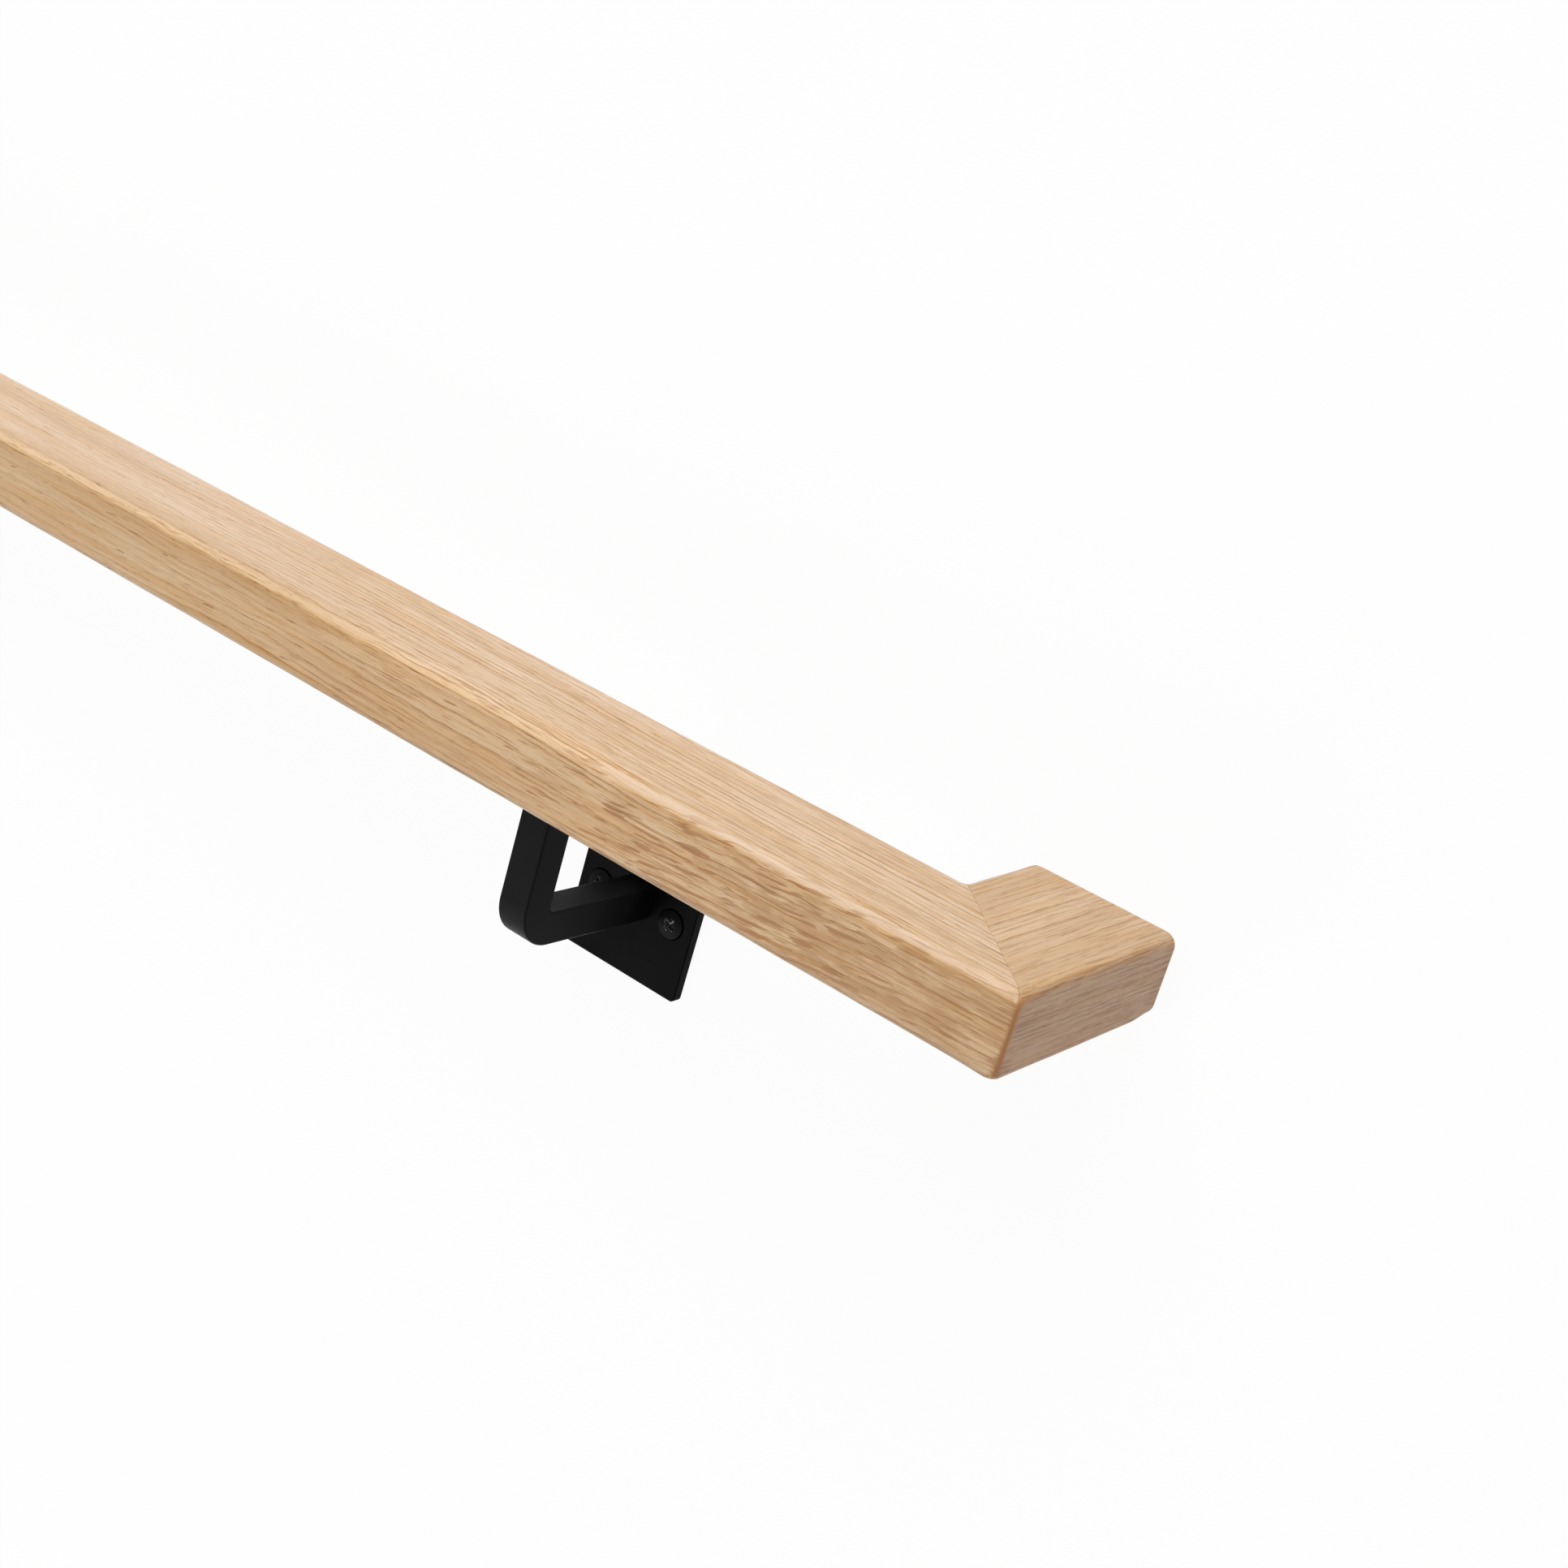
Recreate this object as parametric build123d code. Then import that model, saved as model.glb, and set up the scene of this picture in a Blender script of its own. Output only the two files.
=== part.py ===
from build123d import *
import os

# Wooden wall handrail with mitred returns and two square-bar brackets, lying on its back.
# X runs along the rail, Y is up once it is fixed, Z stands out from the wall plane at Z = 0.
# The origin is on the wall plane, in the middle of the length and of the height.

# Rail and returns, cut from one moulded oak section
rail_length = 914.0  # over the outer corners of both mitres
rail_width = 57.0  # front face to back face
rail_height = 28.5  # underside to top
top_edge_radius = 6.0  # router round on both top edges
bottom_edge_radius = 3.0  # smaller round on both bottom edges
corner_ease_radius = 2.2  # sanded on the upright outer arris of each mitre
end_ease_radius = 0.6  # sanded all round the end of a return that meets the wall
wall_clearance = 39.5  # wall to the rail's back face, for the fingers

# Bracket arm, a square bar with one tight bend
bracket_inset = 197.2  # end of the rail to the middle of a bracket
bar_size = 12.7
bar_corner_radius = 0.8
bend_inner_radius = 3.2
leg_from_wall = 67.2  # wall to the axis of the upright leg
bracket_drop = 52.0  # rail's underside to the axis of the level leg
arm_above_plate_middle = 2.8  # the level leg is a little above the middle of its wall plate

# Steel plates, one against the wall and one under the rail
wall_plate_size = 54.5
wall_plate_thickness = 4.0
plate_corner_radius = 2.0
plate_edge_chamfer = 0.5  # filed on the edges that face away from the wall or the rail
wall_hole_radius = 2.75
wall_hole_margin = 10.0  # middle of a hole to the side of the plate
saddle_length = 60.0
saddle_width = 30.0
saddle_thickness = 3.5
saddle_hole_radius = 2.5
saddle_countersink_radius = 4.6
saddle_hole_margin = 9.0  # middle of a hole to the end of the saddle

# Heights and depths that follow from them
overall_height = rail_height + bracket_drop + arm_above_plate_middle + wall_plate_size / 2
rail_top = overall_height / 2
rail_bottom = rail_top - rail_height
rail_middle = rail_bottom + rail_height / 2
rail_end = rail_length / 2
rail_back = wall_clearance
rail_front = wall_clearance + rail_width
arm_axis = rail_bottom - bracket_drop
plate_middle = arm_axis - arm_above_plate_middle
saddle_bottom = rail_bottom - saddle_thickness
bracket_x = rail_end - bracket_inset
bend_radius = bend_inner_radius + bar_size / 2


def rail_section(plane):
    """The rail's cross-section, with the larger rounds at the top."""
    outline = Rectangle(rail_width, rail_height)
    corners = outline.vertices().group_by(Axis.Y)
    outline = fillet(corners[-1], top_edge_radius)
    corners = outline.vertices().group_by(Axis.Y)
    outline = fillet(corners[0], bottom_edge_radius)
    return plane * outline


def mitre_plane(side):
    """The 45 degree joint at one end, facing the return."""
    return Plane(origin=(side * rail_end, rail_middle, rail_front), z_dir=(side, 0, -1))


def ease_outer_corners(piece):
    """Rounds the upright arrises where the front face turns into a return."""
    outline = Rectangle(rail_length, 2 * rail_front)
    outline = fillet(outline.vertices(), corner_ease_radius)
    lying = Plane(origin=(0, rail_bottom, 0), x_dir=(1, 0, 0), z_dir=(0, 1, 0))
    return piece & extrude(lying * outline, rail_height)


def rail():
    """The long run, mitred at both ends."""
    middle = (rail_back + rail_front) / 2
    start = Plane(origin=(rail_end, rail_middle, middle), x_dir=(0, 0, 1), z_dir=(-1, 0, 0))
    piece = extrude(rail_section(start), rail_length)
    for side in (-1, 1):
        piece = split(piece, bisect_by=mitre_plane(side), keep=Keep.BOTTOM)
    return ease_outer_corners(piece)


def wall_return():
    """The short run from the right-hand mitre back to the wall."""
    start = Plane(origin=(rail_end - rail_width / 2, rail_middle, 0))
    piece = extrude(rail_section(start), rail_front)
    wall_end = piece.faces().sort_by(Axis.Z)[0]
    piece = fillet(wall_end.edges(), end_ease_radius)
    piece = split(piece, bisect_by=mitre_plane(1), keep=Keep.TOP)
    return ease_outer_corners(piece)


def arm():
    """The bent bar, from under the saddle down and back to the wall plate."""
    route = FilletPolyline(
        (0, saddle_bottom, leg_from_wall),
        (0, arm_axis, leg_from_wall),
        (0, arm_axis, wall_plate_thickness),
        radius=bend_radius,
    )
    start = Plane(origin=route @ 0, x_dir=(1, 0, 0), z_dir=route % 0)
    section = start * RectangleRounded(bar_size, bar_size, bar_corner_radius)
    return sweep(section, path=route)


def flat_plate(seat, length, width, thickness):
    """A plate lying on its seat, with its corners rounded and its outward edges filed off."""
    plate = extrude(seat * RectangleRounded(length, width, plate_corner_radius), thickness)
    outward = plate.faces().sort_by(Axis(seat.origin, seat.z_dir))[-1]
    return chamfer(outward.edges(), plate_edge_chamfer)


def wall_plate():
    """The square plate, with a screw hole on each side of the arm."""
    seat = Plane(origin=(0, plate_middle, 0))
    plate = flat_plate(seat, wall_plate_size, wall_plate_size, wall_plate_thickness)
    hole_x = wall_plate_size / 2 - wall_hole_margin
    for x in (-hole_x, hole_x):
        middle = Pos(x, plate_middle, wall_plate_thickness / 2)
        plate -= middle * Cylinder(wall_hole_radius, wall_plate_thickness)
    return plate


def saddle_plate():
    """The strip under the rail, countersunk from below at both ends."""
    seat = Plane(origin=(0, rail_bottom, leg_from_wall), x_dir=(1, 0, 0), z_dir=(0, -1, 0))
    plate = flat_plate(seat, saddle_length, saddle_width, saddle_thickness)
    hole_x = saddle_length / 2 - saddle_hole_margin
    for x in (-hole_x, hole_x):
        mouth = seat * Pos(x, 0, saddle_thickness)
        plate -= mouth * CounterSinkHole(
            saddle_hole_radius, saddle_countersink_radius, saddle_thickness, 90
        )
    return plate


right_return = wall_return()
pieces = {
    "rail": rail(),
    "return_right": right_return,
    "return_left": mirror(right_return, about=Plane.YZ),
}
for name, side in (("right", 1), ("left", -1)):
    place = Pos(side * bracket_x, 0, 0)
    pieces[f"arm_{name}"] = place * arm()
    pieces[f"wall_plate_{name}"] = place * wall_plate()
    pieces[f"saddle_plate_{name}"] = place * saddle_plate()

os.makedirs("parts", exist_ok=True)
for name, piece in pieces.items():
    export_step(piece, f"parts/{name}.step")
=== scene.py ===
import math

import bmesh
import bpy
from mathutils import Matrix, Vector, geometry, noise


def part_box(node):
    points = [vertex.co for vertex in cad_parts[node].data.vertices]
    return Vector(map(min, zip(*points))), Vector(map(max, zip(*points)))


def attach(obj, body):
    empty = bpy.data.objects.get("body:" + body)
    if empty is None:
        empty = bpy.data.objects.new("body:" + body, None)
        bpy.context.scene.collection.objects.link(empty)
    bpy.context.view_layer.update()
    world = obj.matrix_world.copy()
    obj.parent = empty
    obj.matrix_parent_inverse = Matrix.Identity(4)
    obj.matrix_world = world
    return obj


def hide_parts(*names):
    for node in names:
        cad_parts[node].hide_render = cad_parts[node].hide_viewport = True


# Oak wall handrail on black square-bar brackets, lying on its back on a white floor.
# X runs along the rail, Y is up once it is fixed, Z stands out from the wall plane. Metres.

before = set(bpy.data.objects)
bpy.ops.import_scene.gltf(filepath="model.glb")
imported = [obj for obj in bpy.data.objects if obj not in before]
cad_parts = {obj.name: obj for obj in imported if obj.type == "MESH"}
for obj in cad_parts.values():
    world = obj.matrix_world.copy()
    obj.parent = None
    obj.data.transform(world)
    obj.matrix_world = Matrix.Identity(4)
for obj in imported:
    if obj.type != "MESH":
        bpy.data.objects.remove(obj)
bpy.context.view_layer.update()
mm = 0.001
railLow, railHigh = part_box("rail")
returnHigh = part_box("return_right")[1]
railEnd = returnHigh.x  # outer corner of the right mitre
railFront = railHigh.z
railBack = railLow.z
railBottom = railLow.y
railWidth = railFront - railBack
railHeight = railHigh.y - railBottom


# Small helpers for meshes and node trees

seedSteps = (7.31, 3.17)  # how far apart in the noise two seeds lie


def lerp(a, b, t):
    return a + (b - a) * t


def ease(t):
    t = min(max(t, 0.0), 1.0)
    return t * t * (3 - 2 * t)


def wander(place, wavelength, seed):  # smooth random value, about -1 to 1
    return noise.noise(Vector((place / wavelength, seed * seedSteps[0], seed * seedSteps[1])))


def meshObject(name, verts, faces, sharpAngle=None):
    mesh = bpy.data.meshes.new(name)
    mesh.from_pydata(verts, [], faces)
    bm = bmesh.new()
    bm.from_mesh(mesh)
    bmesh.ops.recalc_face_normals(bm, faces=bm.faces)
    bm.to_mesh(mesh)
    bm.free()
    if sharpAngle is not None:
        mesh.polygons.foreach_set("use_smooth", [True] * len(mesh.polygons))
        mesh.set_sharp_from_angle(angle=math.radians(sharpAngle))
    piece = bpy.data.objects.new(name, mesh)
    bpy.context.scene.collection.objects.link(piece)
    return piece


def joinLoops(loops):  # skin between closed loops of equal length, capped at both ends
    count = len(loops[0])
    verts = [point for loop in loops for point in loop]
    faces = []
    for row in range(len(loops) - 1):
        for k in range(count):
            a, b = row * count + k, row * count + (k + 1) % count
            faces.append((a, b, b + count, a + count))
    faces.append(tuple(range(count)))
    faces.append(tuple(range(len(verts) - count, len(verts))))
    return verts, faces


def addNode(tree, kind, inputs=None, **settings):
    made = tree.nodes.new(kind)
    for key, value in settings.items():
        setattr(made, key, value)
    for key, value in (inputs or {}).items():
        if isinstance(value, bpy.types.NodeSocket):
            tree.links.new(value, made.inputs[key])
        else:
            made.inputs[key].default_value = value
    return made


def calc(tree, operation, a, b=None, c=None):
    values = {index: value for index, value in enumerate((a, b, c)) if value is not None}
    return addNode(tree, "ShaderNodeMath", values, operation=operation).outputs[0]


def times(tree, *values):
    product = values[0]
    for value in values[1:]:
        product = calc(tree, "MULTIPLY", product, value)
    return product


def between(tree, value, low, high, outLow=0.0, outHigh=1.0):
    inputs = {"Value": value, "From Min": low, "From Max": high, "To Min": outLow, "To Max": outHigh}
    return addNode(tree, "ShaderNodeMapRange", inputs, interpolation_type="SMOOTHSTEP").outputs["Result"]


def cloud(tree, vector, lengths, detail=2.0, roughness=0.5, offset=(0, 0, 0)):
    # soft noise, whose patches run as far each way as lengths says
    scale = tuple(1 / length for length in lengths)
    placed = addNode(tree, "ShaderNodeMapping", {"Vector": vector, "Scale": scale, "Location": offset})
    inputs = {"Vector": placed.outputs["Vector"], "Scale": 1.0, "Detail": detail, "Roughness": roughness}
    return addNode(tree, "ShaderNodeTexNoise", inputs).outputs["Fac"]


def splitAxes(tree, vector):
    return addNode(tree, "ShaderNodeSeparateXYZ", {0: vector}).outputs


def joinAxes(tree, x, y, z):
    return addNode(tree, "ShaderNodeCombineXYZ", {0: x, 1: y, 2: z}).outputs[0]


def mixColour(tree, factor, a, b, blend="MIX"):
    inputs = {0: factor, 6: a, 7: b}
    return addNode(tree, "ShaderNodeMix", inputs, data_type="RGBA", blend_type=blend).outputs[2]


def grey(tree, value):
    return addNode(tree, "ShaderNodeCombineColor", {0: value, 1: value, 2: value}).outputs[0]


def newGroup(name, inputs, outputs):
    tree = bpy.data.node_groups.new(name, "ShaderNodeTree")
    for title, kind, value in inputs:
        socket = tree.interface.new_socket(title, in_out="INPUT", socket_type=f"NodeSocket{kind}")
        if value is not None:
            socket.default_value = value
    for title in outputs:
        tree.interface.new_socket(title, in_out="OUTPUT", socket_type="NodeSocketFloat")
    return tree, tree.nodes.new("NodeGroupInput").outputs, tree.nodes.new("NodeGroupOutput").inputs


def useGroup(tree, group, inputs):
    return addNode(tree, "ShaderNodeGroup", inputs, node_tree=group).outputs


def newMaterial(name):
    material = bpy.data.materials.new(name)
    material.use_nodes = True
    tree = material.node_tree
    return material, tree, tree.nodes["Principled BSDF"]


def placeInMillimetres(tree, where):
    inputs = {"Vector": where["Object"], "Scale": (1 / mm, 1 / mm, 1 / mm)}
    return addNode(tree, "ShaderNodeMapping", inputs).outputs["Vector"]


# Patterns of marks, and bends that make a line or a border stray

patterns = {
    # size of a mark each way in millimetres, detail, roughness, offset, and where in the noise it fades in
    "ringPatches": ((60, 4, 4), 2.0, 0.50, (5, 2, 0), (0.28, 0.58)),
    "lineBreaks": ((80, 3, 3), 2.5, 0.55, (0, 0, 0), (0.40, 0.54)),
    "lineDots": ((9, 1.2, 1.2), 2.0, 0.50, (0, 0, 0), (0.36, 0.54, 0.35, 1.0)),
    "streaks": ((22, 0.60, 0.60), 3.0, 0.62, (3.1, 0, 0), (0.52, 0.66)),
    "pores": ((8, 0.36, 0.36), 2.0, 0.60, (0, 0, 0), (0.59, 0.66)),
    "rayEnds": ((15, 1.25, 8), 1.0, 0.50, (0, 0, 0), (0.565, 0.610)),
    "flecks": ((9, 0.8, 6), 2.0, 0.50, (4, 9, 2), (0.58, 0.72)),
    "specks": ((3.2, 0.9, 0.9), 0.0, 0.50, (7, 3, 1), (0.86, 0.90)),
    "tone": ((130, 11, 11), 2.0, 0.50, (0, 0, 0), (0.32, 0.68)),
    "honey": ((80, 4, 4), 2.0, 0.50, (1, 4, 2), (0.44, 0.66)),
    "clouds": ((17, 6, 6), 3.0, 0.60, (0, 0, 0), (0.38, 0.62)),
    "brownEdge": ((12, 1.1, 1.1), 3.0, 0.60, (0, 5, 5), (0.42, 0.60, 0.15, 1.0)),
    "dust": ((22, 22, 22), 3.0, 0.50, (0, 0, 0), (0.35, 0.70)),
}
bends = {
    # length of a swing each way and how far it goes, in millimetres, and detail
    "wander": ((230, 45, 45), 8.0, 1.0),
    "ripple": ((40, 9, 9), 1.5, 2.0),
    "kink": ((13, 5, 5), 1.1, 1.5),
    "rayBend": ((12, 4, 10), 1.6, 2.0),
    "raggedEdge": ((16, 1.3, 1.3), 1.0, 3.0),  # this one swings in parts of a turn
    "glueLine": ((3, 3, 3), 0.25, 2.0),
    "soakedBorder": ((2.5, 6, 2.5), 1.2, 2.0),
    "highlightBorder": ((20, 2, 2), 20.0, 2.0),
}


def pattern(tree, vector, name, raised=None):  # 1 on the marks of one kind and 0 between them
    lengths, detail, roughness, offset, fade = patterns[name]
    level = cloud(tree, vector, lengths, detail, roughness, offset)
    if raised is not None:
        level = calc(tree, "ADD", level, raised)
    return between(tree, level, *fade)


def bend(tree, vector, name):  # swings about zero
    lengths, reach, detail = bends[name]
    return calc(tree, "MULTIPLY_ADD", cloud(tree, vector, lengths, detail), reach, -0.5 * reach)


# Oak figure, from a place in millimetres with x along the grain

figureValues = {
    "ringSlant": 0.7,  # share of the difference between the two ways across the grain
    "swell": 1.7,  # how many years the spacing of the rings strays by
    "swellScale": 0.45,
    "swellDetail": 1.5,
    "weakestRing": 0.35,
    "ringSpread": 0.75,
    "ringRise": (0.0, 0.10),  # where in a year a ring comes up and dies away, and the thin line in it
    "ringFall": (0.14, 0.60),
    "lineRise": (0.0, 0.04),
    "lineFall": (0.07, 0.19),
    "poresInRings": 0.8,
    "poresBetween": 0.3,
    "rayThinning": 0.10,  # what the noise loses where there are no rays
    "threads": (20, 0.35, 0.35),
    "threadRoughness": 0.7,
    "speckles": (0.8, 0.4, 0.4),
    "speckleShare": 0.25,
}


def ridge(tree, phase, rise, fall):  # comes up at rise and dies away over fall
    return times(tree, between(tree, phase, *rise), between(tree, phase, *fall, 1.0, 0.0))


def buildOakFigure():
    tree, given, out = newGroup(
        "oakFigure",
        [("Grain", "Vector", None), ("Ring Spacing", "Float", 1.9), ("Wander", "Float", 1.0),
         ("Ripple", "Float", 1.0), ("Lean", "Float", 0.06), ("Ray Density", "Float", 1.0)],
        ["Rings", "Lines", "Streaks", "Pores", "Ray Ends", "Flecks", "Specks", "Tone", "Honey", "Fibre"],
    )
    values = figureValues
    grain = given["Grain"]
    axes = splitAxes(tree, grain)

    # the grain wanders slowly, ripples, and has small kinks
    push = calc(tree, "ADD", bend(tree, grain, "wander"), bend(tree, grain, "ripple"))
    push = calc(tree, "ADD", push, times(tree, bend(tree, grain, "kink"), given["Ripple"]))
    push = times(tree, push, given["Wander"])
    pushedY = calc(tree, "SUBTRACT", axes["Y"], push)
    pushedZ = calc(tree, "ADD", axes["Z"], push)
    flowing = joinAxes(tree, axes["X"], pushedY, pushedZ)
    flow = splitAxes(tree, flowing)

    # growth rings lie askew to both faces and square to the front edge, no two equally strong
    radius = times(tree, calc(tree, "SUBTRACT", flow["Z"], flow["Y"]), values["ringSlant"])
    years = calc(tree, "DIVIDE", radius, given["Ring Spacing"])
    stretch = {"W": years, "Scale": values["swellScale"], "Detail": values["swellDetail"]}
    uneven = addNode(tree, "ShaderNodeTexNoise", stretch, noise_dimensions="1D").outputs["Fac"]
    years = calc(tree, "MULTIPLY_ADD", uneven, values["swell"], years)
    phase = calc(tree, "FRACT", years)
    ring = {"W": calc(tree, "FLOOR", years)}
    chance = addNode(tree, "ShaderNodeTexWhiteNoise", ring, noise_dimensions="1D").outputs["Value"]
    weight = calc(tree, "MULTIPLY_ADD", chance, values["ringSpread"], values["weakestRing"])
    early = times(tree, ridge(tree, phase, values["ringRise"], values["ringFall"]), weight)
    tree.links.new(times(tree, early, pattern(tree, flowing, "ringPatches")), out["Rings"])
    thin = times(tree, ridge(tree, phase, values["lineRise"], values["lineFall"]), weight)
    thin = times(tree, thin, pattern(tree, flowing, "lineBreaks"), pattern(tree, flowing, "lineDots"))
    tree.links.new(thin, out["Lines"])
    crowd = calc(tree, "MULTIPLY_ADD", early, values["poresInRings"], values["poresBetween"])
    tree.links.new(times(tree, pattern(tree, flowing, "pores"), crowd), out["Pores"])

    # ray ends are spindles that lean a little off the grain, with pale flecks among them
    leaning = calc(tree, "SUBTRACT", flow["Y"], times(tree, axes["X"], given["Lean"]))
    leaning = calc(tree, "ADD", leaning, bend(tree, grain, "rayBend"))
    leaning = joinAxes(tree, axes["X"], leaning, axes["Z"])
    thinning = values["rayThinning"]
    sparse = calc(tree, "MULTIPLY_ADD", given["Ray Density"], thinning, -thinning)
    tree.links.new(pattern(tree, leaning, "rayEnds", sparse), out["Ray Ends"])
    tree.links.new(pattern(tree, leaning, "flecks", sparse), out["Flecks"])

    for title in ("Streaks", "Specks", "Tone", "Honey"):
        tree.links.new(pattern(tree, flowing, title.lower()), out[title])
    threads = cloud(tree, flowing, values["threads"], roughness=values["threadRoughness"])
    speckles = cloud(tree, grain, values["speckles"], detail=1.0)
    threads = calc(tree, "SUBTRACT", threads, values["speckleShare"] / 2)
    tree.links.new(calc(tree, "MULTIPLY_ADD", speckles, values["speckleShare"], threads), out["Fibre"])
    return tree


# Edge turn: where the surface turns from one flat to the next, with a ragged border; on the rail it places
# the painted highlight

turnGain = 3.4  # makes the turn 0 on a flat and 1 half way round an edge


def buildSandedEdge():
    tree, given, out = newGroup(
        "edgeTurn",
        [("Normal", "Vector", None), ("Grain", "Vector", None), ("Ragged", "Float", 0.3),
         ("Start", "Float", 0.10), ("Full", "Float", 0.42)],
        ["Edge"],
    )
    axes = splitAxes(tree, given["Normal"])
    sizes = [calc(tree, "ABSOLUTE", axes[index]) for index in range(3)]
    most = calc(tree, "MAXIMUM", sizes[0], calc(tree, "MAXIMUM", sizes[1], sizes[2]))
    turned = times(tree, calc(tree, "SUBTRACT", 1.0, most), turnGain)
    torn = times(tree, bend(tree, given["Grain"], "raggedEdge"), given["Ragged"])
    turned = calc(tree, "ADD", turned, torn)
    tree.links.new(between(tree, turned, given["Start"], given["Full"]), out["Edge"])
    return tree


# Mitre: the glue line, and the finish that soaked deeper into the cut ends beside it

mitreValues = {
    "lineCore": 0.4,  # share of the line's width that is fully dark
    "soakCore": 0.2,  # millimetres beside the joint that are fully soaked
}


def buildMitreStain():
    tree, given, out = newGroup(
        "mitreStain",
        [("Place", "Vector", None), ("Rail End", "Float", railEnd / mm),
         ("Rail Front", "Float", railFront / mm), ("Line Width", "Float", 0.2),
         ("Soak Width", "Float", 1.3)],
        ["Line", "Soak"],
    )
    axes = splitAxes(tree, given["Place"])
    offEnd = calc(tree, "SUBTRACT", given["Rail End"], calc(tree, "ABSOLUTE", axes["X"]))
    offFront = calc(tree, "SUBTRACT", given["Rail Front"], axes["Z"])
    gap = calc(tree, "ABSOLUTE", calc(tree, "SUBTRACT", offEnd, offFront))
    gap = times(tree, gap, math.sqrt(0.5))  # square to the joint, which lies at 45 degrees
    line = calc(tree, "ADD", gap, bend(tree, given["Place"], "glueLine"))
    core = times(tree, given["Line Width"], mitreValues["lineCore"])
    tree.links.new(between(tree, line, core, given["Line Width"], 1.0, 0.0), out["Line"])
    soak = calc(tree, "ADD", gap, bend(tree, given["Place"], "soakedBorder"))
    soak = between(tree, soak, mitreValues["soakCore"], given["Soak Width"], 1.0, 0.0)
    tree.links.new(soak, out["Soak"])
    return tree


oakFigure = buildOakFigure()
edgeTurn = buildSandedEdge()
mitreStain = buildMitreStain()
print("node groups ready")

oakValues = {
    "cream": (0.692, 0.502, 0.345, 1),
    "tan": (0.592, 0.395, 0.236, 1),
    "honey": (0.640, 0.385, 0.165, 1),
    "darkFibre": (0.92, 0.89, 0.83, 1),  # tints for the finest threads
    "paleFibre": (1.05, 1.07, 1.11, 1),
    "ringBrown": (0.430, 0.205, 0.028, 1),
    "lineBrown": (0.240, 0.092, 0.010, 1),
    "streakBrown": (0.390, 0.180, 0.026, 1),
    "poreBrown": (0.230, 0.092, 0.014, 1),
    "rayBrown": (0.330, 0.132, 0.018, 1),
    "fleckCream": (0.780, 0.590, 0.390, 1),
    "speckBrown": (0.120, 0.050, 0.022, 1),
    # painted highlight along the rail's rounded top front edge, yellow or pink, with orange grain lines in
    # it
    "highlightPink": (0.800, 0.610, 0.460, 1),
    "highlightYellow": (0.830, 0.600, 0.370, 1),
    "bandLine": (0.520, 0.250, 0.090, 1),
    "edgeBrown": (0.520, 0.250, 0.075, 1),
    "cloudBrown": (0.370, 0.182, 0.045, 1),
    "soakBrown": (0.420, 0.170, 0.050, 1),
    "honeyShare": 0.5,  # how much of what lies under it a colour covers
    "fleckShare": 0.4,
    "speckShare": 0.45,
    "bandLineShare": 0.7,
    "glueShare": 0.40,
    "fibreSpan": (0.25, 0.75),
    # strengths in the middle of the rail or at its mitres, beside 1 between them
    "middleFigure": 0.40,
    "middleHighlight": 1.5,
    "middleShade": 0.955,
    "endHighlight": 0.7,
    "endShade": 0.965,
    # where along the rail they change, and the brown clouds come, in millimetres from its middle
    "middleFigureRun": (10, 250),
    "middleHighlightRun": (70, 180),
    "middleShadeRun": (60, 240),
    "endFigureRun": (370, 435),
    "endHighlightRun": (340, 425),
    "endShadeRun": (300, 420),
    "cloudsRun": (230, 400),
    # where along the rail the painted highlight turns from yellow to pink
    "highlightTurnsPink": (291, 297),
    # how far a face looks up: where the side becomes the top, the edge begins, and the yellow part of the
    # painted highlight ends
    "sideToTop": (0.35, 0.8),
    "edgeLooksUp": (0.12, 0.42),
    "yellowLooksUp": (0.72, 0.93),
    "faceOnPower": 2.0,
    "edgeTurn": {"Ragged": 0.40, "Start": 0.16, "Full": 0.42},
    "roughness": 0.40,
    "poreRoughness": 0.2,
    "coat": 0.10,
    "coatRoughness": 0.32,
    "bump": 0.2,
    "bumpDepth": 0.15 * mm,
    "ringGroove": 0.35,  # depths beside the pores'
    "lineGroove": 0.8,
    "glueGroove": 1.2,
}
railOak = {  # pairs are for the top and the side
    "alongZ": False, "offset": (0, 0, 0), "wander": 1.0, "ripple": (1.0, 0.4), "lean": 0.06,
    # painted shade: the top and the sides get their colours from how light falls on them, the sides darker
    # and warmer
    "topPaintedShade": (1.00, 1.00, 0.985, 1), "sidePaintedShade": (0.98, 0.918, 0.765, 1),
    "rings": (0.85, 0.85), "lines": (0.60, 0.85), "streaks": (0.80, 0.75), "rays": 0.80, "pores": 0.80,
    "raysRun": (230, 330), "fewRays": -0.40, "clouds": 0.50, "endFigure": 0.68,
    "band": 0.42, "highlightWash": 0.75, "edge": 0.0, "soak": 0.80, "soakWidth": 0.9,
}
returnOak = {
    "alongZ": True, "offset": (40, 13, 7), "wander": 0.6, "ripple": (0.6, 0.6), "lean": 0.03,
    # painted shade: the return's top and side darker than the rail's, its side most
    "topPaintedShade": (0.91, 0.865, 0.745, 1), "sidePaintedShade": (0.785, 0.640, 0.460, 1),
    "rings": (0.55, 0.65), "lines": (0.60, 0.90), "streaks": (0.75, 1.00), "rays": 0.45, "pores": 0.50,
    "raysRun": (0, 1000), "fewRays": 0.05, "clouds": 0.15, "endFigure": 1.0,
    "band": 0.0, "highlightWash": 0.0, "edge": 0.62, "soak": 0.85, "soakWidth": 3.0,
}


def alongRail(tree, masks, run, low, high):  # changes over a run, counted from the middle of the rail
    return between(tree, masks["fromMiddle"], *oakValues[run], low, high)


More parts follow.
